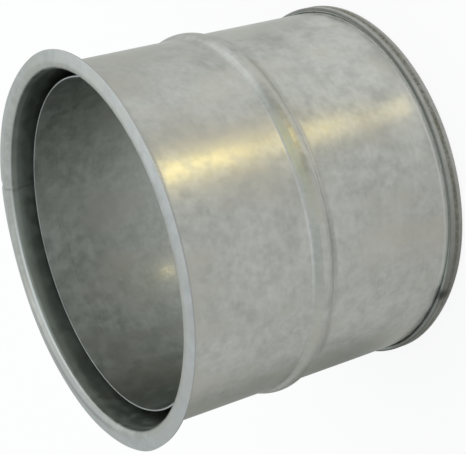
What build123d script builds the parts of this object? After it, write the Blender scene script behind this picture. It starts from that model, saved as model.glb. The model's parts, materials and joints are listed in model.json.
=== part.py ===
"""Double wall sleeve for a flue pipe, of aluminised sheet steel.

The axis is Z, the seamed rear end stands on z = 0 and the mouth with its lip is on top. The outer and
the inner sleeve are each one sheet, and a folded seam at the rear holds the two together. Each sheet
is drawn as its middle line, bend after bend, and revolved.
"""

import os
from math import atan, cos, degrees, radians, sin

from build123d import *

# Both sleeves, mm
sheet = 0.6
inner_outside = 128.0
ring_gap = 6.0  # between the sleeves, for the flue pipe and its seal
overall_length = 122.0
mouth_setback = 9.9  # inner sleeve's edge behind the mouth

# Lip round the mouth, turned out and a little back
lip_width = 6.5  # beyond the outer sleeve's outside
lip_lean = 10.0
mouth_bend = 2.0

# Bead round the outer sleeve
bead_height = 1.85
bead_width = 11.0
bead_from_rear = 63.6
bead_crown_share = 0.6  # the rest of the bead's roundness is in its two feet

# Folded seam
seam_height = 6.2
seam_play = 0.05  # between neighbouring layers
hook_play = 0.15  # from a hook's end to where the fold round it begins
web_bend = 1.0

# Weld along the outer sleeve, rolled nearly flat; the inner sleeve's is planished flush for the pipe
weld_width = 1.6
weld_height = 0.1
weld_at = 90.0
weld_stop = 1.5  # short of the seam

# Middle lines of the two tubes and of the seam's layers, outward from the outer sleeve's wall
tube = inner_outside / 2 - sheet / 2
wall = inner_outside / 2 + ring_gap + sheet / 2
layer = sheet + seam_play
cover_hook = wall + layer
body_hook = wall + 2 * layer
seam_wall = wall + 3 * layer

# Heights of the web and of the two folds' centres
web_z = sheet / 2
rear_fold_z = web_z + 2 * layer
front_fold_z = seam_height - sheet / 2 - layer

# Mouth's bend and the lip that runs out of it
mouth_radius = mouth_bend + sheet / 2
mouth_z = overall_length - sheet / 2 - mouth_radius
lip_root = wall + mouth_radius + mouth_radius * sin(radians(lip_lean))
lip_edge = wall + sheet / 2 + lip_width - sheet / 2 * sin(radians(lip_lean))
lip_length = (lip_edge - lip_root) / cos(radians(lip_lean))
lip_edge_z = mouth_z + mouth_radius * cos(radians(lip_lean)) - lip_length * sin(radians(lip_lean))

# Bead of three arcs, foot, crown and foot
bead_turn = degrees(2 * atan(2 * bead_height / bead_width))
bead_round = bead_width / 2 / sin(radians(bead_turn))
bead_crown = bead_round * bead_crown_share
bead_foot = bead_round - bead_crown

web_radius = web_bend + sheet / 2

# Weld's arc round the axis, and the plane through the axis where it begins
weld_arc = degrees(weld_width / wall)
weld_plane = Plane.XZ.rotated((0, 0, weld_at - weld_arc / 2))

with BuildPart() as outer_sleeve:
    with BuildSketch(Plane.XZ):
        with BuildLine():
            lip = PolarLine((lip_edge, lip_edge_z), lip_length, 180 - lip_lean)
            mouth = JernArc(lip @ 1, lip % 1, mouth_radius, 90 + lip_lean)
            front_wall = Line(mouth @ 1, (wall, bead_from_rear + bead_width / 2))
            front_foot = JernArc(front_wall @ 1, front_wall % 1, bead_foot, bead_turn)
            crown = JernArc(front_foot @ 1, front_foot % 1, bead_crown, -2 * bead_turn)
            rear_foot = JernArc(crown @ 1, crown % 1, bead_foot, bead_turn)
            rear_wall = Line(rear_foot @ 1, (wall, seam_height + weld_stop))
            seamed_wall = Line(rear_wall @ 1, (wall, rear_fold_z))
            # Hook, turned up into the inner sleeve's fold
            rear_fold = JernArc(seamed_wall @ 1, seamed_wall % 1, layer, 180)
            Line(rear_fold @ 1, (body_hook, front_fold_z - hook_play))
        trace(line_width=sheet)
    revolve(axis=Axis.Z)
    with BuildSketch(weld_plane):
        trace([lip, mouth, front_wall, front_foot, crown, rear_foot, rear_wall], sheet + 2 * weld_height)
    revolve(axis=Axis.Z, revolution_arc=weld_arc)

with BuildPart() as inner_sleeve:
    with BuildSketch(Plane.XZ):
        with BuildLine():
            pipe = Line((tube, overall_length - mouth_setback), (tube, web_z + web_radius))
            web_turn = JernArc(pipe @ 1, pipe % 1, web_radius, 90)
            web = Line(web_turn @ 1, (cover_hook, web_z))
            # Seam's outside, wrapped round the outer sleeve's hook and folded down behind it
            corner = JernArc(web @ 1, web % 1, seam_wall - cover_hook, 90)
            seam_face = Line(corner @ 1, (seam_wall, front_fold_z))
            front_fold = JernArc(seam_face @ 1, seam_face % 1, layer, 180)
            Line(front_fold @ 1, (cover_hook, rear_fold_z + hook_play))
        trace(line_width=sheet)
    revolve(axis=Axis.Z)

outer_sleeve.part.label = "outer_sleeve"
inner_sleeve.part.label = "inner_sleeve"

os.makedirs("parts", exist_ok=True)
export_step(outer_sleeve.part, "parts/outer_sleeve.step")
export_step(inner_sleeve.part, "parts/inner_sleeve.step")
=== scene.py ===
import json
from math import pi, radians

import bpy
import numpy as np
from mathutils import Matrix, Vector


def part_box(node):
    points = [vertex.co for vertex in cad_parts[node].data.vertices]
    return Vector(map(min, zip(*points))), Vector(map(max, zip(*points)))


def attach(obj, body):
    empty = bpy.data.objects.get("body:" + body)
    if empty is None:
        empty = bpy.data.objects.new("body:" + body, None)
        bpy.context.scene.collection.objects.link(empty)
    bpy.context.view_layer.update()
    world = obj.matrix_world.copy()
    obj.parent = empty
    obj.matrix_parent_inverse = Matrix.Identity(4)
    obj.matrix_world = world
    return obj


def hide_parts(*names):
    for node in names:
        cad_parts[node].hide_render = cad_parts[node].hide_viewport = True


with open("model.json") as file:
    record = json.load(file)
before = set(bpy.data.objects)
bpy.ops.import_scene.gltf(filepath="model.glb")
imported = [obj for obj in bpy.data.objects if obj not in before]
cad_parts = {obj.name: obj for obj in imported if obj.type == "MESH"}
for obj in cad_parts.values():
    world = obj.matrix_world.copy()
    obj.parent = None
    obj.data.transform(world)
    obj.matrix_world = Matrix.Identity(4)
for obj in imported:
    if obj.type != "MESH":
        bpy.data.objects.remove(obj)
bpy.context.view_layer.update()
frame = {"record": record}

# Flue wall sleeve: two sleeves of aluminised sheet steel, one inside the other, held by a folded seam
# at the rear end that it stands on. Lengths are in metres and angles round the axis in degrees.
MM = 0.001

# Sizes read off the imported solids
outer_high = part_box("outer_sleeve")[1]
inner_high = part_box("inner_sleeve")[1]
mounts = {mount["name"]: mount["dims"] for mount in frame["record"]["mounts"]}
SPIGOT = mounts["pipe_spigot"]["r_mm"] * MM
SHEET = SPIGOT - mounts["flue_bore"]["r_mm"] * MM
TUBE_TOP = inner_high[2]
SEAM_RADIUS = inner_high[0]
LIP_RADIUS = outer_high[0]

# Sizes of the bends
RING_GAP = 6.0 * MM
LENGTH = 122.0 * MM
LIP_LEAN = 10.0
MOUTH_BEND = 2.3 * MM
BEAD_AT = 63.6 * MM
BEAD_WIDTH = 11.0 * MM
BEAD_HEIGHT = 1.85 * MM
BEAD_CROWN_SHARE = 0.6
SEAM_HEIGHT = 6.2 * MM
HOOK_PLAY = 0.15 * MM
ROLLER_AT = 3.8 * MM
ROLLER_WIDTH = 0.35 * MM
ROLLER_DEPTH = 0.12 * MM
WEB_BEND = 1.3 * MM
WELD_AT = 90.0
WELD_WIDTH = 1.6 * MM
WELD_CROWN = 0.30 * WELD_WIDTH
WELD_FOOT = 0.62 * WELD_WIDTH
WELD_HEIGHT = 0.1 * MM
WELD_STOP = 1.5 * MM
EDGE_ROUND = 0.12 * MM
EDGE_POINTS = 9

# Middle lines of the sheets
TUBE = SPIGOT - SHEET / 2
WALL = SPIGOT + RING_GAP + SHEET / 2
LAYER = (SEAM_RADIUS - SHEET / 2 - WALL) / 3
REAR_FOLD_Z = SHEET / 2 + 2 * LAYER
FRONT_FOLD_Z = SEAM_HEIGHT - SHEET / 2 - LAYER

# Angle round the axis that faces the camera
VIEW_AT = -61.0

# Irregularities of the used piece. The wall is drawn in under the lip, over a length that is shortest on
# the camera's side, and the mouth is oval from the bead on, in full above a height.
DRAWN_IN = 0.7 * MM
DRAWN_LENGTH = 10.0 * MM
DRAWN_LENGTH_NEAR = 2.6 * MM
MOUTH_OVAL = 0.45 * MM
MOUTH_OVAL_FULL_Z = LENGTH - 8.0 * MM

# Lip: its waves round the mouth as size, number and phase, how far it is set back so that they stay inside
# the solid's box, the narrower places as depth, angle and half width, and the nick at the weld
LIP_WAVES = ((0.12 * MM, 3, 0.6), (0.07 * MM, 7, 2.1))
LIP_SET_BACK = 0.19 * MM
LIP_NARROWER = ((1.2 * MM, 42.0, 17.0), (0.5 * MM, -172.0, 12.0), (-0.4 * MM, -148.0, 8.0))
NICK_HALF_WIDTH = 1.1 * MM
NICK_DEPTH = 0.5 * MM
NICK_DROP = 0.3 * MM

# Inner sleeve's free end: from a height on it is wider all round, oval and off centre
END_FROM_Z = 0.2 * TUBE_TOP
END_WIDER = 0.27 * MM
END_OVAL = 0.67 * MM
END_OFF_CENTRE = 0.35 * MM

# Rear end pushed in on the low side of the picture, fading out between two heights
DENT_AT = -117.0
DENT_SPREAD = 20.0
DENT_DEPTH = 0.85 * MM
DENT_HEIGHTS = (4.0 * MM, 22.0 * MM)


def smooth(low, high, value):
    """Rises from 0 at low to 1 at high along 3 t^2 - 2 t^3."""
    t = np.clip((value - low) / (high - low), 0.0, 1.0)
    return t * t * (3.0 - 2.0 * t)


def bell(angle, at, half_width):
    """Bell curve of the angle round the axis, exp(-(a / w)^2), with a wrapped into -180 to 180 degrees."""
    off = (angle - at + 180) % 360 - 180
    return np.exp(-((off / half_width) ** 2))


def rear_dent(angle, height):
    """How far the rear end is pushed in: a bell curve of the angle that fades out with the height."""
    return DENT_DEPTH * bell(angle, DENT_AT, DENT_SPREAD) * (1 - smooth(*DENT_HEIGHTS, height))


def straight(length, parts):
    """One straight run of a sheet, as (length, turn, parts)."""
    return length, 0.0, parts


def arc(radius, turn, parts):
    """One bend of a sheet: its length is radius times turn."""
    return radius * abs(radians(turn)), turn, parts


def bent_line(start, heading, runs):
    """Middle line of a bent sheet in the plane of radius and height, with its headings.

    The heading is the running sum of the turns. Each part moves by its chord, which is its length times
    sin(turn / 2) / (turn / 2), along the mean of the headings at its two ends.
    """
    length, turn, parts = np.array(runs).T
    parts = parts.astype(int)
    step = np.repeat(length / parts, parts)
    bend = np.repeat(np.radians(turn) / parts, parts)
    headings = radians(heading) + np.concatenate([[0.0], np.cumsum(bend)])
    along = headings[:-1] + bend / 2
    chord = step * np.sinc(bend / 2 / np.pi)
    moves = chord[:, None] * np.stack([np.cos(along), np.sin(along)], 1)
    points = np.array(start) + np.concatenate([np.zeros((1, 2)), np.cumsum(moves, 0)])
    return points, headings


def sheet_section(points, headings):
    """Closed loop round a sheet: out along its left face, round the cut end, back and round the other end.

    Returns the middle points, the unit normals, the share of half the thickness at which each loop point
    stands off along its normal, from 1 on the left face to -1 on the right, and 1 at the cut ends. Each cut
    end is half a superellipse, the square root of cosine along the sheet and of sine across it.
    """
    ahead = np.stack([np.cos(headings), np.sin(headings)], 1)
    normals = np.stack([-ahead[:, 1], ahead[:, 0]], 1)
    points = points.copy()
    points[0] += ahead[0] * EDGE_ROUND
    points[-1] -= ahead[-1] * EDGE_ROUND
    turn = np.radians(np.linspace(90, -90, EDGE_POINTS + 2))[1:-1]
    reach = EDGE_ROUND * np.abs(np.cos(turn)) ** 0.5
    across = np.sign(np.sin(turn)) * np.abs(np.sin(turn)) ** 0.5
    far_end = points[-1] + reach[:, None] * ahead[-1]
    near_end = points[0] - reach[:, None] * ahead[0]
    far_normals = np.tile(normals[-1], (EDGE_POINTS, 1))
    near_normals = np.tile(normals[0], (EDGE_POINTS, 1))
    face = np.ones(len(points))
    end = np.ones(EDGE_POINTS)
    middle = np.concatenate([points, far_end, points[::-1], near_end])
    normal = np.concatenate([normals, far_normals, normals[::-1], near_normals])
    side = np.concatenate([face, across, -face, -across])
    cut = np.concatenate([0 * face, end, 0 * face, end])
    return middle, normal, side, cut


def ring_mesh(name, radius, height, angle, side, cut):
    """Closed surface of revolution from arrays of radius and height, loop points by angles, both ways round.

    The attribute cut_edge is 1 at the sheet's cut ends, and right_face is 1 on its right face, 0 on its left.
    """
    rows, columns = radius.shape
    x = radius * np.cos(angle)
    y = radius * np.sin(angle)
    vertices = np.stack([x, y, height], -1).reshape(-1, 3)
    row = np.arange(rows)[:, None]
    column = np.arange(columns)[None, :]
    here = row * columns + column
    below = (row + 1) % rows * columns + column
    below_next = (row + 1) % rows * columns + (column + 1) % columns
    here_next = row * columns + (column + 1) % columns
    quads = np.stack([here, below, below_next, here_next], -1).reshape(-1, 4)
    mesh = bpy.data.meshes.new(name)
    mesh.vertices.add(len(vertices))
    mesh.vertices.foreach_set("co", vertices.ravel())
    mesh.loops.add(quads.size)
    mesh.loops.foreach_set("vertex_index", quads.ravel())
    mesh.polygons.add(len(quads))
    mesh.polygons.foreach_set("loop_start", np.arange(0, quads.size, 4))
    mesh.polygons.foreach_set("use_smooth", np.ones(len(quads), bool))
    mesh.update(calc_edges=True)
    for label, share in (("cut_edge", cut), ("right_face", (1 - side) / 2)):
        attribute = mesh.attributes.new(label, "FLOAT", "POINT")
        attribute.data.foreach_set("value", np.repeat(share, columns).astype(np.float32))
    mesh.validate()
    piece = bpy.data.objects.new(name, mesh)
    bpy.context.scene.collection.objects.link(piece)
    return piece


def outer_sleeve():
    """Lip, mouth bend, wall with its bead, and the hook that lies folded in the rear seam.

    The sheet's section is revolved. Its half thickness grows by the weld's height across the weld. Under
    the lip the wall is drawn in a little, over a length that goes with the cosine of the angle from the
    camera's side. The mouth is a little oval, by 1 + cos(2 a) round from there. The lip lies a little
    uneven, by a few sines and bell curves of the angle, and the rear end is pushed in by a bell curve.
    """
    lean = radians(LIP_LEAN)
    mouth_z = LENGTH - SHEET / 2 - MOUTH_BEND
    lip_root = WALL + MOUTH_BEND * (1 + np.sin(lean))
    lip_edge = LIP_RADIUS - SHEET / 2 * np.sin(lean)
    lip_length = (lip_edge - lip_root) / np.cos(lean)
    lip_edge_z = mouth_z + MOUTH_BEND * np.cos(lean) - lip_length * np.sin(lean)
    bead_turn = np.degrees(2 * np.arctan(2 * BEAD_HEIGHT / BEAD_WIDTH))
    bead_round = BEAD_WIDTH / 2 / np.sin(radians(bead_turn))
    bead_foot = bead_round * (1 - BEAD_CROWN_SHARE)
    bead_crown = bead_round * BEAD_CROWN_SHARE
    points, headings = bent_line(
        (lip_edge, lip_edge_z),
        180 - LIP_LEAN,
        [
            straight(lip_length, 5),
            arc(MOUTH_BEND, 90 + LIP_LEAN, 12),
            straight(DRAWN_LENGTH, 16),
            straight(mouth_z - DRAWN_LENGTH - BEAD_AT - BEAD_WIDTH / 2, 14),
            arc(bead_foot, bead_turn, 6),
            arc(bead_crown, -2 * bead_turn, 12),
            arc(bead_foot, bead_turn, 6),
            straight(BEAD_AT - BEAD_WIDTH / 2 - SEAM_HEIGHT - WELD_STOP, 16),
            straight(SEAM_HEIGHT + WELD_STOP - REAR_FOLD_Z, 4),
            arc(LAYER, 180, 8),
            straight(FRONT_FOLD_Z - HOOK_PLAY - REAR_FOLD_Z, 1),
        ],
    )
    middle, normal, side, cut = sheet_section(points, headings)
    # Angles a degree apart, and closer together across the weld
    coarse = np.arange(0, 360, 1.0)
    fine = WELD_AT + np.degrees(np.linspace(-1.2, 1.2, 25) * WELD_WIDTH / WALL)
    angle = np.unique(np.concatenate([coarse[np.abs(coarse - WELD_AT) > 2.0], fine]))
    from_weld = np.radians(angle - WELD_AT) * WALL
    weld = 1 - smooth(WELD_CROWN, WELD_FOOT, np.abs(from_weld))
    welded = smooth(SEAM_HEIGHT, SEAM_HEIGHT + WELD_STOP, middle[:, 1])
    stand_off = side[:, None] * (SHEET / 2 + WELD_HEIGHT * weld * welded[:, None])
    radius = middle[:, :1] + normal[:, :1] * stand_off
    height = middle[:, 1:] + normal[:, 1:] * stand_off
    turn = np.radians(angle - VIEW_AT)
    toward_mouth = smooth(BEAD_AT + BEAD_WIDTH, MOUTH_OVAL_FULL_Z, middle[:, 1:])
    on_lip = np.clip((middle[:, :1] - lip_root) / (lip_edge - lip_root), 0, 1) * toward_mouth
    reach = DRAWN_LENGTH_NEAR + (DRAWN_LENGTH - DRAWN_LENGTH_NEAR) * (1 - np.cos(turn)) / 2
    drawn_in = smooth(mouth_z - reach, mouth_z, middle[:, 1:]) * (1 - on_lip)
    radius = radius - MOUTH_OVAL * toward_mouth * (1 + np.cos(2 * turn)) - DRAWN_IN * drawn_in
    nick = np.exp(-((from_weld / NICK_HALF_WIDTH) ** 2))
    uneven = sum(size * np.sin(number * turn + phase) for size, number, phase in LIP_WAVES) - LIP_SET_BACK
    narrower = sum(depth * bell(angle, at, half_width) for depth, at, half_width in LIP_NARROWER)
    radius = radius + on_lip * (uneven - narrower - NICK_DEPTH * nick)
    height = height + on_lip * (uneven - NICK_DROP * nick)
    radius = radius - rear_dent(angle, height)
    return ring_mesh("outer_sleeve_sheet", radius, height, np.radians(angle), side, cut)


def inner_sleeve():
    """Inner tube, the web that closes the ring gap at the rear, and the seam's cover folded round the hook.

    The sheet's section is revolved. The roller's mark round the seam is a bell curve of the height. The free
    end is a little oval, by cos(2 a) round from the camera's side, and off centre, by sin(a). The seam is
    pushed in with the outer sleeve's rear end.
    """
    seam_wall = WALL + 3 * LAYER
    cover_hook = WALL + LAYER
    corner = seam_wall - cover_hook
    points, headings = bent_line(
        (TUBE, TUBE_TOP),
        -90,
        [
            straight(TUBE_TOP - SHEET / 2 - WEB_BEND, 30),
            arc(WEB_BEND, 90, 8),
            straight(cover_hook - TUBE - WEB_BEND, 4),
            arc(corner, 90, 8),
            straight(FRONT_FOLD_Z - SHEET / 2 - corner, 18),
            arc(LAYER, 180, 10),
            straight(FRONT_FOLD_Z - HOOK_PLAY - REAR_FOLD_Z, 1),
        ],
    )
    middle, normal, side, cut = sheet_section(points, headings)
    angle = np.arange(0, 360, 1.0)
    stand_off = side[:, None] * SHEET / 2 + 0 * angle
    radius = middle[:, :1] + normal[:, :1] * stand_off
    height = middle[:, 1:] + normal[:, 1:] * stand_off
    on_cover = radius > WALL + 2.5 * LAYER
    rolled = np.exp(-(((height - ROLLER_AT) / ROLLER_WIDTH) ** 2)) * on_cover
    radius = radius - ROLLER_DEPTH * rolled
    toward_end = smooth(END_FROM_Z, TUBE_TOP, height) * (radius < SPIGOT + SHEET)
    turn = np.radians(angle - VIEW_AT)
    radius = radius + toward_end * (END_WIDER - END_OVAL * np.cos(2 * turn) + END_OFF_CENTRE * np.sin(turn))
    radius = radius - rear_dent(angle, height) * smooth(TUBE + 2 * MM, WALL, radius)
    return ring_mesh("inner_sleeve_sheet", radius, height, np.radians(angle), side, cut)


def put(tree, kind, feeds=None, **settings):
    """Adds a node, sets its properties and feeds its inputs, by a link from a socket or by a value."""
    node = tree.nodes.new(kind)
    for name, value in settings.items():
        setattr(node, name, value)
    for key, value in (feeds or {}).items():
        socket = node.inputs[key]
        if isinstance(value, bpy.types.NodeSocket):
            tree.links.new(value, socket)
        else:
            socket.default_value = value
    return node


def calc(tree, operation, *values):
    """Output of a math node on values or sockets."""
    return put(tree, "ShaderNodeMath", dict(enumerate(values)), operation=operation).outputs[0]


def product(tree, first, *others):
    """Product of masks and shares."""
    for other in others:
        first = calc(tree, "MULTIPLY", first, other)
    return first


def span(tree, value, low, high, start=0.0, end=1.0):
    """Smooth ramp of a value from low to high onto start to end."""
    feeds = {"Value": value, "From Min": low, "From Max": high, "To Min": start, "To Max": end}
    return put(tree, "ShaderNodeMapRange", feeds, interpolation_type="SMOOTHSTEP").outputs["Result"]


def blend(tree, factor, first, second, mode="MIX"):
    """Mix of two colours, the second one a socket or red, green and blue."""
    if isinstance(second, tuple):
        second = (*second, 1)
    node = put(tree, "ShaderNodeMix", {0: factor, 6: first, 7: second}, data_type="RGBA", blend_type=mode)
    return node.outputs[2]


def noise(tree, vector, scale, detail=2.0, roughness=0.5):
    """Value of a noise texture, whose scale is in features per metre."""
    feeds = {"Vector": vector, "Scale": scale, "Detail": detail, "Roughness": roughness}
    return put(tree, "ShaderNodeTexNoise", feeds).outputs["Fac"]


def stretched(tree, vector, scale):
    """Coordinates scaled apart along the three axes."""
    return put(tree, "ShaderNodeMapping", {"Vector": vector, "Scale": scale}).outputs["Vector"]


def object_place(tree):
    """The point's place in the object's own coordinates."""
    return put(tree, "ShaderNodeTexCoord").outputs["Object"]


def shader_group(name, inputs, outputs):
    """Empty node group with named sockets: its tree, input node and output node."""
    tree = bpy.data.node_groups.new(name, "ShaderNodeTree")
    for label, kind, value in inputs:
        socket = tree.interface.new_socket(label, in_out="INPUT", socket_type=kind)
        socket.default_value = value
    for label, kind in outputs:
        tree.interface.new_socket(label, in_out="OUTPUT", socket_type=kind)
    return tree, tree.nodes.new("NodeGroupInput"), tree.nodes.new("NodeGroupOutput")


def round_place_group():
    """Where a point lies on a round part: angle round Z in radians, radius and height."""
    labels = ("Angle", "Radius", "Height")
    tree, _, out = shader_group("round_place", [], [(label, "NodeSocketFloat") for label in labels])
    x, y, z = put(tree, "ShaderNodeSeparateXYZ", {0: object_place(tree)}).outputs
    squares = calc(tree, "ADD", calc(tree, "MULTIPLY", x, x), calc(tree, "MULTIPLY", y, y))
    tree.links.new(calc(tree, "ARCTAN2", y, x), out.inputs["Angle"])
    tree.links.new(calc(tree, "SQRT", squares), out.inputs["Radius"])
    tree.links.new(z, out.inputs["Height"])
    return tree


def sheet_clouds_group():
    """Cloudy dip coating: patches of a few sizes that shift the tint, the dullness and the relief."""
    tree, given, out = shader_group(
        "sheet_clouds",
        [
            ("Light", "NodeSocketColor", (0.4, 0.4, 0.4, 1)),
            ("Dark", "NodeSocketColor", (0.3, 0.3, 0.3, 1)),
            ("Warm", "NodeSocketColor", (0.36, 0.35, 0.31, 1)),
        ],
        [("Color", "NodeSocketColor"), ("Dull", "NodeSocketFloat"), ("Relief", "NodeSocketFloat")],
    )
    place = object_place(tree)
    broad = span(tree, noise(tree, place, 65.0), 0.32, 0.68)
    patches = span(tree, noise(tree, place, 190.0), 0.33, 0.67)
    blots = span(tree, noise(tree, place, 450.0), 0.33, 0.67)
    grain = noise(tree, place, 2100.0, 1.0)
    rolled = span(tree, noise(tree, stretched(tree, place, (0.09, 0.09, 1.0)), 800.0), 0.3, 0.7)
    cloud = calc(tree, "MULTIPLY_ADD", broad, 0.24, calc(tree, "MULTIPLY", patches, 0.42))
    cloud = calc(tree, "MULTIPLY_ADD", blots, 0.24, cloud)
    cloud = calc(tree, "MULTIPLY_ADD", rolled, 0.08, cloud)
    drift = noise(tree, stretched(tree, place, (1.0, 1.0, 0.5)), 55.0)
    tint = blend(tree, cloud, given.outputs["Dark"], given.outputs["Light"])
    tint = blend(tree, span(tree, drift, 0.42, 0.72, 0.0, 0.75), tint, given.outputs["Warm"])
    dull = calc(tree, "MULTIPLY_ADD", patches, 0.6, calc(tree, "MULTIPLY", grain, 0.4))
    relief = calc(tree, "MULTIPLY_ADD", grain, 0.3, calc(tree, "MULTIPLY", blots, 0.7))
    tree.links.new(tint, out.inputs["Color"])
    tree.links.new(dull, out.inputs["Dull"])
    tree.links.new(relief, out.inputs["Relief"])
    return tree


ROUND_PLACE = round_place_group()
SHEET_CLOUDS = sheet_clouds_group()


def ring_mask(tree, height, at, half_width, soft):
    """1 on a ring round the part at a height, falling to 0 past its half width."""
    off = calc(tree, "ABSOLUTE", calc(tree, "SUBTRACT", height, at))
    return span(tree, off, half_width + soft, half_width)


def angle_mask(tree, angle, at, spread, full=0.0):
    """1 at an angle round the axis and up to full to either side of it, falling to 0 at a spread."""
    off = calc(tree, "SUBTRACT", angle, radians(at))
    off = calc(tree, "ABSOLUTE", calc(tree, "WRAP", off, pi, -pi))
    return span(tree, off, radians(spread), radians(full))


def spot_mask(tree, centre, radius, soft):
    """1 around a point, falling to 0 past a radius."""
    feeds = {0: object_place(tree), 1: centre}
    off = put(tree, "ShaderNodeVectorMath", feeds, operation="DISTANCE").outputs["Value"]
    return span(tree, off, radius + soft, radius)


def on_round(angle, radius, height):
    """Point at an angle round the axis, a radius and a height."""
    turn = radians(angle)
    return radius * np.cos(turn), radius * np.sin(turn), height


def sheet_material(name, light, dark, warm):
    """Metal with the coating in three tints: material, tree, shader, clouds, place and cut edge's mask."""
    material = bpy.data.materials.new(name)
    material.use_nodes = True
    tree = material.node_tree
    shader = tree.nodes["Principled BSDF"]
    shader.inputs["Metallic"].default_value = 1.0
    shader.inputs["Specular Tint"].default_value = (0.74, 0.75, 0.73, 1)
    tints = {"Light": (*light, 1), "Dark": (*dark, 1), "Warm": (*warm, 1)}
    clouds = put(tree, "ShaderNodeGroup", tints, node_tree=SHEET_CLOUDS)
    place = put(tree, "ShaderNodeGroup", node_tree=ROUND_PLACE)
    edge = put(tree, "ShaderNodeAttribute", attribute_name="cut_edge").outputs["Fac"]
    return material, tree, shader, clouds.outputs, place.outputs, edge


def finish_sheet(tree, shader, colour, clouds, matt):
    """Feeds the shader: colour, roughness by the dullness and higher where matt, and a fine bump."""
    tree.links.new(colour, shader.inputs["Base Color"])
    rough = calc(tree, "MULTIPLY_ADD", matt, 0.18, span(tree, clouds["Dull"], 0.2, 0.9, 0.31, 0.38))
    tree.links.new(rough, shader.inputs["Roughness"])
    bump = put(tree, "ShaderNodeBump", {"Strength": 0.05, "Distance": 0.12 * MM, "Height": clouds["Relief"]})
    tree.links.new(bump.outputs["Normal"], shader.inputs["Normal"])


# Marks on the bead, partly stains and partly painted highlights and shade: height above its middle, half
# width and softness in mm, angle, spread, share, colour. The last one is painted shade, a faint dark patch
# on the wall toward the rear.
BEAD_STAINS_AND_PAINTED_LIGHT = (
    (4.7, 0.15, 0.6, -75, 24, 0.40, (0.60, 0.61, 0.60)),
    (4.7, 0.15, 0.6, -40, 90, 0.20, (0.60, 0.61, 0.60)),
    (2.6, 0.90, 0.9, -80, 22, 0.40, (0.25, 0.255, 0.22)),
    (1.9, 0.50, 0.9, -8, 22, 0.25, (0.66, 0.68, 0.68)),
    (2.7, 0.90, 0.8, -34, 12, 0.50, (0.21, 0.215, 0.18)),
    (2.8, 0.90, 0.7, -47, 13, 0.70, (0.54, 0.51, 0.26)),
    (1.6, 1.40, 0.9, -58, 20, 0.50, (0.36, 0.36, 0.25)),
    (0.3, 0.50, 1.3, -42, 28, 0.55, (0.17, 0.17, 0.13)),
    (2.2, 2.60, 0.6, -119, 27, 0.48, (0.20, 0.20, 0.18)),
    (2.9, 1.00, 0.7, -104, 28, 0.60, (0.40, 0.385, 0.32)),
    (-3.4, 0.60, 1.3, -53, 30, 0.60, (0.66, 0.66, 0.64)),
    (-3.6, 0.70, 1.3, -97, 20, 0.36, (0.60, 0.60, 0.57)),
    (-4.8, 0.50, 1.4, -76, 16, 0.45, (0.20, 0.20, 0.185)),
    (-4.8, 0.50, 1.4, -60, 200, 0.12, (0.20, 0.20, 0.185)),
    (-44.0, 6.0, 9.0, -90, 36, 0.20, (0.22, 0.22, 0.20)),
)

# Painted light on the wall by the rear seam's groove: reach above it in mm, share, angle, spread, full angle
PAINTED_LIGHT_TINT = (0.9, 0.9, 0.87)
SEAM_PAINTED_LIGHT = (
    (2.4, 0.66, -55, 95, 62),
    (3.0, 0.70, -111, 24, 0),
)

# Painted light inside the mouth, pale rings on the bend and the gap's wall: depth, half width and softness
# in mm, angle, spread, full angle, share and colour
MOUTH_PAINTED_LIGHT = (
    (2.2, 0.5, 0.7, 132, 50, 8, 0.75, (0.74, 0.78, 0.75)),
    (3.2, 0.6, 1.4, 80, 48, 20, 0.45, (0.62, 0.65, 0.62)),
)

# Radii between which the mouth's bend goes over into the lip
LIP_FROM = WALL + 1.2 * MM
LIP_FULL = WALL + 2.6 * MM


def wall_marks(tree, place, colour):
    """Outer wall: stains, painted highlights and shade on the bead; painted light and a smudge by the seam;
    the weld's line.
    """
    uneven = span(tree, noise(tree, object_place(tree), 420.0, 3.0, 0.6), 0.3, 0.7, 0.55, 1.0)
    # Stains, painted highlights and painted shade on the bead, by height and angle
    for above, half_width, soft, at, spread, share, tint in BEAD_STAINS_AND_PAINTED_LIGHT:
        ring = ring_mask(tree, place["Height"], BEAD_AT + above * MM, half_width * MM, soft * MM)
        mask = product(tree, ring, angle_mask(tree, place["Angle"], at, spread), uneven, share)
        colour = blend(tree, mask, colour, tint)
    # Painted light: pale bands on the wall that lighten the shade in the seam's groove
    for reach, share, at, spread, full in SEAM_PAINTED_LIGHT:
        painted_light = span(tree, place["Height"], SEAM_HEIGHT + reach * MM, SEAM_HEIGHT + 0.2 * MM, 0.0, share)
        painted_light = product(tree, painted_light, angle_mask(tree, place["Angle"], at, spread, full))
        colour = blend(tree, painted_light, colour, PAINTED_LIGHT_TINT)
    smudge = spot_mask(tree, on_round(-110.0, WALL, 6.6 * MM), 0.8 * MM, 3.0 * MM)
    colour = blend(tree, product(tree, smudge, 0.12), colour, (0.04, 0.04, 0.034))
    off_weld = calc(tree, "ABSOLUTE", calc(tree, "SUBTRACT", place["Angle"], radians(WELD_AT)))
    weld = span(tree, off_weld, 0.9 * MM / WALL, 0.3 * MM / WALL, 0.0, 0.4)
    return blend(tree, weld, colour, (0.19, 0.18, 0.16))


def lip_marks(tree, place, edge, colour):
    """Lip: a cooler tint, painted shade on the far side, and the cut edge darker as painted shade."""
    on_lip = span(tree, place["Radius"], LIP_FROM, LIP_FULL, 0.0, 0.22)
    on_lip = product(tree, on_lip, span(tree, place["Height"], LENGTH - 8 * MM, LENGTH - 6 * MM))
    colour = blend(tree, on_lip, colour, (0.48, 0.52, 0.56))
    # Painted shade on the far side of the lip
    shade = product(tree, on_lip, angle_mask(tree, place["Angle"], 150, 32), 3.2)
    colour = blend(tree, shade, colour, (0.305, 0.315, 0.32))
    # The cut edge is darkened: painted shade for the dark line under the lip
    return blend(tree, product(tree, edge, 0.7), colour, (0.28, 0.285, 0.28))


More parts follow.
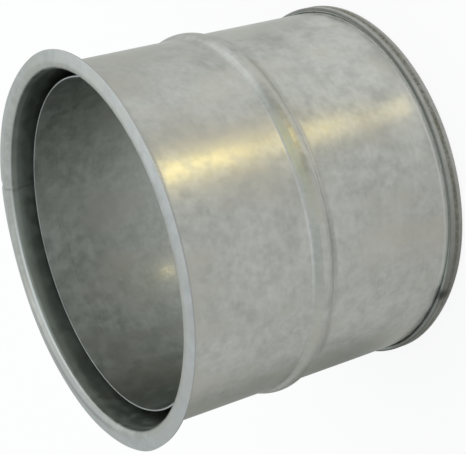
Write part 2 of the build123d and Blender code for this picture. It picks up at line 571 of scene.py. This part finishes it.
def gap_marks(tree, place, gap_side, gap_wall, colour):
    """Inside the mouth: painted shade deep in the gap, to one side and at the bend, and rings of painted
    light.
    """
    # Painted shade: the gap's wall darker with depth
    deep = product(tree, gap_wall, span(tree, place["Height"], LENGTH - 8 * MM, LENGTH - 21 * MM, 0.0, 0.65))
    colour = blend(tree, deep, colour, (0.145, 0.155, 0.13))
    # Painted shade on one side of the gap's wall
    gap_shade = product(tree, gap_wall, angle_mask(tree, place["Angle"], 42, 45), 0.45)
    colour = blend(tree, gap_shade, colour, (0.05, 0.06, 0.05))
    colour = blend(tree, gap_wall, colour, (0.93, 1.0, 0.96), "MULTIPLY")
    # Painted light: pale rings on the bend and the gap's wall near the mouth
    for depth, half_width, soft, at, spread, full, share, tint in MOUTH_PAINTED_LIGHT:
        ring = ring_mask(tree, place["Height"], LENGTH - depth * MM, half_width * MM, soft * MM)
        mask = product(tree, ring, angle_mask(tree, place["Angle"], at, spread, full), gap_side, share)
        colour = blend(tree, mask, colour, tint)
    # Painted shade on the bend on the far side
    shade = span(tree, place["Height"], LENGTH - 1.8 * MM, LENGTH - 1.2 * MM, 0.0, 0.6)
    shade = product(tree, shade, angle_mask(tree, place["Angle"], 168, 36, 12), gap_side)
    shade = product(tree, shade, span(tree, place["Radius"], LIP_FULL, LIP_FROM))
    return blend(tree, shade, colour, (0.23, 0.24, 0.24))


def outer_sheet_material():
    """Outer sleeve: clouds, marks and painted light on wall, lip and mouth, matt in the gap and behind the
    bead.
    """
    material, tree, shader, clouds, place, edge = sheet_material(
        "outer_sheet_coating", (0.45, 0.46, 0.435), (0.315, 0.322, 0.298), (0.39, 0.384, 0.342)
    )
    gap_side = put(tree, "ShaderNodeAttribute", attribute_name="right_face").outputs["Fac"]
    gap_wall = product(tree, gap_side, span(tree, place["Height"], LENGTH - 1 * MM, LENGTH - 4 * MM))
    colour = wall_marks(tree, place, clouds["Color"])
    colour = lip_marks(tree, place, edge, colour)
    colour = gap_marks(tree, place, gap_side, gap_wall, colour)
    behind_bead = ring_mask(tree, place["Height"], BEAD_AT - 3.5 * MM, 1.5 * MM, 1.5 * MM)
    matt = calc(tree, "MAXIMUM", product(tree, gap_wall, 0.7), behind_bead)
    finish_sheet(tree, shader, colour, clouds, matt)
    return material


# Inside the bore: the height of a faint ring, and the place and reach of a burnished spot
BORE_RING_AT = 102.6 * MM
BURNISHED_AT = on_round(135.0, SPIGOT - SHEET, 61.0 * MM)
BURNISHED_REACH = 11.0 * MM


def seam_marks(tree, place, outside, spread, speckle, colour):
    """Rear seam: worn and rubbed outside, painted light and shade on the front fold and the low side, grime,
    a smudge.
    """
    fold = span(tree, place["Height"], FRONT_FOLD_Z - 0.3 * MM, FRONT_FOLD_Z + 0.2 * MM)
    fold = product(tree, fold, span(tree, place["Radius"], SPIGOT + 2 * MM, SPIGOT + 4 * MM))
    # Painted light on the inner half of the front fold, against the shade in the groove
    pale = product(tree, fold, span(tree, place["Radius"], WALL + 1.1 * MM, WALL + 0.6 * MM, 0.0, 0.5))
    pale = product(tree, pale, angle_mask(tree, place["Angle"], -40, 65, 30))
    colour = blend(tree, pale, colour, PAINTED_LIGHT_TINT)
    worn = product(tree, outside, span(tree, spread, 0.3, 0.7, 0.65, 0.95))
    colour = blend(tree, worn, colour, (0.29, 0.29, 0.265))
    rubbed = product(tree, span(tree, place["Height"], 3.0 * MM, 0.6 * MM), outside)
    rubbed = product(tree, rubbed, span(tree, speckle, 0.4, 0.6, 0.15, 0.75))
    colour = blend(tree, rubbed, colour, (0.46, 0.46, 0.43))
    # Painted shade on the fold's crest: the groove's dark line
    crest = span(tree, place["Height"], FRONT_FOLD_Z + 0.2 * MM, FRONT_FOLD_Z + 0.75 * MM)
    crest = product(tree, crest, span(tree, place["Radius"], WALL + 0.8 * MM, WALL + 1.3 * MM, 0.0, 0.65))
    crest = product(tree, crest, angle_mask(tree, place["Angle"], -15, 82, 20))
    colour = blend(tree, crest, colour, (0.07, 0.07, 0.063))
    # Painted shade on the fold on the low side
    low_fold = product(tree, fold, angle_mask(tree, place["Angle"], -124, 26, 12), 0.6)
    colour = blend(tree, low_fold, colour, (0.05, 0.05, 0.045))
    line = ring_mask(tree, place["Height"], ROLLER_AT - 0.4 * MM, 0.3 * MM, 1.0 * MM)
    line = product(tree, line, outside)
    grime = product(tree, line, span(tree, spread, 0.3, 0.7, 0.35, 0.75))
    colour = blend(tree, grime, colour, (0.125, 0.12, 0.085))
    speck = product(tree, line, span(tree, speckle, 0.45, 0.62, 0.0, 0.5))
    colour = blend(tree, speck, colour, (0.07, 0.067, 0.05))
    # Painted shade on the seam's outside on the low side
    low_side = span(tree, place["Angle"], radians(-50), radians(-112))
    low_side = product(tree, low_side, span(tree, place["Angle"], radians(-174), radians(-150)))
    colour = blend(tree, product(tree, low_side, 0.75, outside), colour, (0.11, 0.11, 0.095))
    smudge = spot_mask(tree, on_round(-108.0, SEAM_RADIUS, 5.2 * MM), 0.8 * MM, 3.6 * MM)
    return blend(tree, product(tree, smudge, 0.85), colour, (0.03, 0.03, 0.026))


def inner_sheet_material():
    """Inner sleeve: clouds, the seam's marks and painted light, a faint ring and a burnished spot inside the
    bore.
    """
    material, tree, shader, clouds, place, edge = sheet_material(
        "inner_sheet_coating", (0.525, 0.553, 0.525), (0.36, 0.381, 0.362), (0.46, 0.462, 0.43)
    )
    where = object_place(tree)
    spread = noise(tree, where, 260.0, 4.0, 0.65)
    speckle = noise(tree, where, 900.0, 3.0, 0.65)
    outside = span(tree, place["Radius"], WALL + 0.9 * MM, WALL + 1.6 * MM)
    colour = seam_marks(tree, place, outside, spread, speckle, clouds["Color"])
    ring = ring_mask(tree, place["Height"], BORE_RING_AT, 0.15 * MM, 0.5 * MM)
    ring = product(tree, ring, span(tree, spread, 0.4, 0.6, 0.1, 0.65))
    colour = blend(tree, ring, colour, (0.48, 0.49, 0.48))
    colour = blend(tree, product(tree, edge, 0.5), colour, (0.38, 0.38, 0.41))
    bore = span(tree, place["Radius"], TUBE, TUBE - 0.25 * MM, 0.0, 0.35)
    burnished = spot_mask(tree, BURNISHED_AT, 0.0, BURNISHED_REACH)
    matt = calc(tree, "MULTIPLY_ADD", burnished, -0.7, calc(tree, "MAXIMUM", outside, bore))
    finish_sheet(tree, shader, colour, clouds, matt)
    return material


for piece, material, node, slot in (
    (outer_sleeve(), outer_sheet_material(), "outer_sleeve", "outer_sheet"),
    (inner_sleeve(), inner_sheet_material(), "inner_sleeve", "inner_sheet"),
):
    piece.data.materials.append(material)
    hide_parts(node)
    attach(piece, "root")

# Stage: the floor's half width and the share of white in what is shown of it, the strength with which the
# surroundings light, and the card's sides with the widths over which two of them fade out
FLOOR_HALF = 4.0
FLOOR_SHOWN = 0.88
SURROUNDINGS_LIGHT = 0.88
CARD_X = (-0.40, -0.045)
CARD_Y = (-0.10, 0.28)
CARD_Z = 0.002
CARD_FADE_X = 0.055
CARD_FADE_Y = 0.07


def seen_directly(tree):
    """1 for rays that show the surroundings, straight, mirrored or through glass."""
    path = put(tree, "ShaderNodeLightPath").outputs
    seen = calc(tree, "MAXIMUM", path["Is Camera Ray"], path["Is Glossy Ray"])
    return calc(tree, "MAXIMUM", seen, path["Is Transmission Ray"])


def flat_sheet(name, x_sides, y_sides, z):
    """Flat rectangle of the stage, a grid of two by two corners."""
    x, y = np.meshgrid(x_sides, y_sides)
    corners = np.stack([x, y, 0 * x + z], -1).reshape(-1, 3)
    mesh = bpy.data.meshes.new(name)
    mesh.from_pydata(corners.tolist(), [], [(0, 1, 3, 2)])
    sheet = bpy.data.objects.new(name, mesh)
    bpy.context.scene.collection.objects.link(sheet)
    return sheet


def matt_paint(sheet, name, colour):
    """Gives a sheet of the stage a paint without shine, and returns its tree and shader."""
    material = bpy.data.materials.new(name)
    material.use_nodes = True
    sheet.data.materials.append(material)
    shader = material.node_tree.nodes["Principled BSDF"]
    shader.inputs["Base Color"].default_value = colour
    shader.inputs["Roughness"].default_value = 0.9
    shader.inputs["Specular IOR Level"].default_value = 0.0
    return material.node_tree, shader


def mix_surface(tree, share, first, second):
    """Makes a mix of two shaders the material's surface."""
    both = put(tree, "ShaderNodeMixShader", {0: share, 1: first.outputs[0], 2: second.outputs[0]})
    tree.links.new(both.outputs[0], tree.nodes["Material Output"].inputs["Surface"])


def white_floor():
    """White floor that keeps the sleeve's shadow and is shown nearly white."""
    floor = flat_sheet("white_floor", (-FLOOR_HALF, FLOOR_HALF), (-FLOOR_HALF, FLOOR_HALF), 0.0)
    tree, shader = matt_paint(floor, "floor_white", (0.86, 0.86, 0.86, 1))
    white = put(tree, "ShaderNodeEmission", {"Color": (1, 1, 1, 1), "Strength": 1.0})
    mix_surface(tree, calc(tree, "MULTIPLY", seen_directly(tree), FLOOR_SHOWN), shader, white)


def grey_card():
    """Grey card beside the sleeve that only the metal mirrors. It fades out along the two near sides."""
    card = flat_sheet("grey_card", CARD_X, CARD_Y, CARD_Z)
    tree, shader = matt_paint(card, "card_grey", (0.6, 0.6, 0.56, 1))
    across, along, _ = put(tree, "ShaderNodeSeparateXYZ", {0: object_place(tree)}).outputs
    inside = span(tree, across, CARD_X[1], CARD_X[1] - CARD_FADE_X)
    inside = product(tree, inside, span(tree, along, CARD_Y[0], CARD_Y[0] + CARD_FADE_Y))
    mix_surface(tree, inside, put(tree, "ShaderNodeBsdfTransparent"), shader)
    card.visible_camera = False
    card.visible_diffuse = False
    card.visible_shadow = False


def white_surroundings():
    """World that lights softly and shows white."""
    world = bpy.data.worlds.new("white_surroundings")
    bpy.context.scene.world = world
    world.use_nodes = True
    tree = world.node_tree
    tree.nodes["Background"].inputs["Color"].default_value = (0.93, 0.975, 1, 1)
    shown = seen_directly(tree)
    strength = calc(tree, "MULTIPLY_ADD", shown, 1.0 - SURROUNDINGS_LIGHT, SURROUNDINGS_LIGHT)
    tree.links.new(strength, tree.nodes["Background"].inputs["Strength"])


def aimed(place, target, up):
    """Matrix at a place whose -Z looks at a target, with Y as near to up as can be."""
    back = (Vector(place) - Vector(target)).normalized()
    right = Vector(up).cross(back).normalized()
    above = back.cross(right)
    matrix = Matrix((right, above, back)).transposed().to_4x4()
    matrix.translation = Vector(place)
    return matrix


def lamp(name, place, target, up, size, watts, colour):
    """Rectangular lamp, width by height in metres, that stays out of the picture itself."""
    data = bpy.data.lights.new(name, "AREA")
    data.shape = "RECTANGLE"
    data.size, data.size_y = size
    data.energy = watts
    data.color = colour
    holder = bpy.data.objects.new(name, data)
    holder.matrix_world = aimed(place, target, up)
    holder.visible_camera = False
    bpy.context.scene.collection.objects.link(holder)


# Flat lamps on the floor that face up: place, width by length, watts, colour, and the angle between their
# length and the Y axis. The metal mirrors them as its pale side and as the warm streak.
COOL = (0.97, 1.0, 0.98)
FLOOR_LAMPS = {
    "floor_panel": ((0.09, 0.17, 0.003), (0.2, 0.2), 0.014, COOL, 0.0),
    "floor_panel_near": ((0.078, 0.055, 0.003), (0.05, 0.09), 0.0016, COOL, 0.0),
    "floor_panel_side": ((0.19, 0.012, 0.003), (0.08, 0.24), 0.018, COOL, 102.0),
    "floor_panel_far": ((0.22, 0.072, 0.004), (0.05, 0.14), 0.0055, (0.88, 0.97, 1.0), 25.0),
    "floor_panel_foot": ((0.062, -0.056, 0.002), (0.014, 0.06), 0.0007, COOL, 141.0),
    "warm_strip_far": ((0.244, -0.1568, 0.006), (0.023, 0.104), 0.092, (1.0, 0.79, 0.25), 61.5),
    "warm_strip_near": ((0.1353, -0.0929, 0.004), (0.016, 0.075), 0.0092, (1.0, 0.78, 0.22), 61.5),
    "warm_strip_foot": ((0.0821, -0.0658, 0.004), (0.010, 0.055), 0.00135, (1.0, 0.82, 0.36), 61.5),
}
UPWARD = (0, 0, 1)

white_floor()
grey_card()
white_surroundings()
lamp("soft_key", (0.8, 0.75, 1.05), (0, 0, 0.06), UPWARD, (2.6, 2.6), 11.0, (1.0, 0.99, 0.97))
for name, (spot, size, watts, colour, turn) in FLOOR_LAMPS.items():
    lengthwise = (np.cos(radians(turn - 90)), np.sin(radians(turn - 90)), 0)
    lamp(name, spot, (spot[0], spot[1], 1), lengthwise, size, watts, colour)
BORE_TARGET = (-0.045, 0.045, 0.061)
lamp("warm_spot_bore", (0.055, -0.0165, 0.002), BORE_TARGET, UPWARD, (0.008, 0.008), 0.0014, (1.0, 0.8, 0.3))

# The camera lies on its side, so that the standing sleeve lies in the picture with its mouth to the left
CAMERA_PLACE = (235.62 * MM, -425.03 * MM, 329.92 * MM)
CAMERA_TARGET = (23.74 * MM, -53.46 * MM, 90.87 * MM)
CAMERA_UP = (0.90164, 0.35894, -0.24125)
lens = bpy.data.cameras.new("camera")
lens.sensor_fit = "HORIZONTAL"
lens.sensor_width = 36.0
lens.lens = 108.83
lens.clip_start = 0.01
camera = bpy.data.objects.new("camera", lens)
camera.matrix_world = aimed(CAMERA_PLACE, CAMERA_TARGET, CAMERA_UP)
bpy.context.scene.collection.objects.link(camera)
bpy.context.scene.camera = camera
bpy.context.scene.view_settings.view_transform = "Standard"
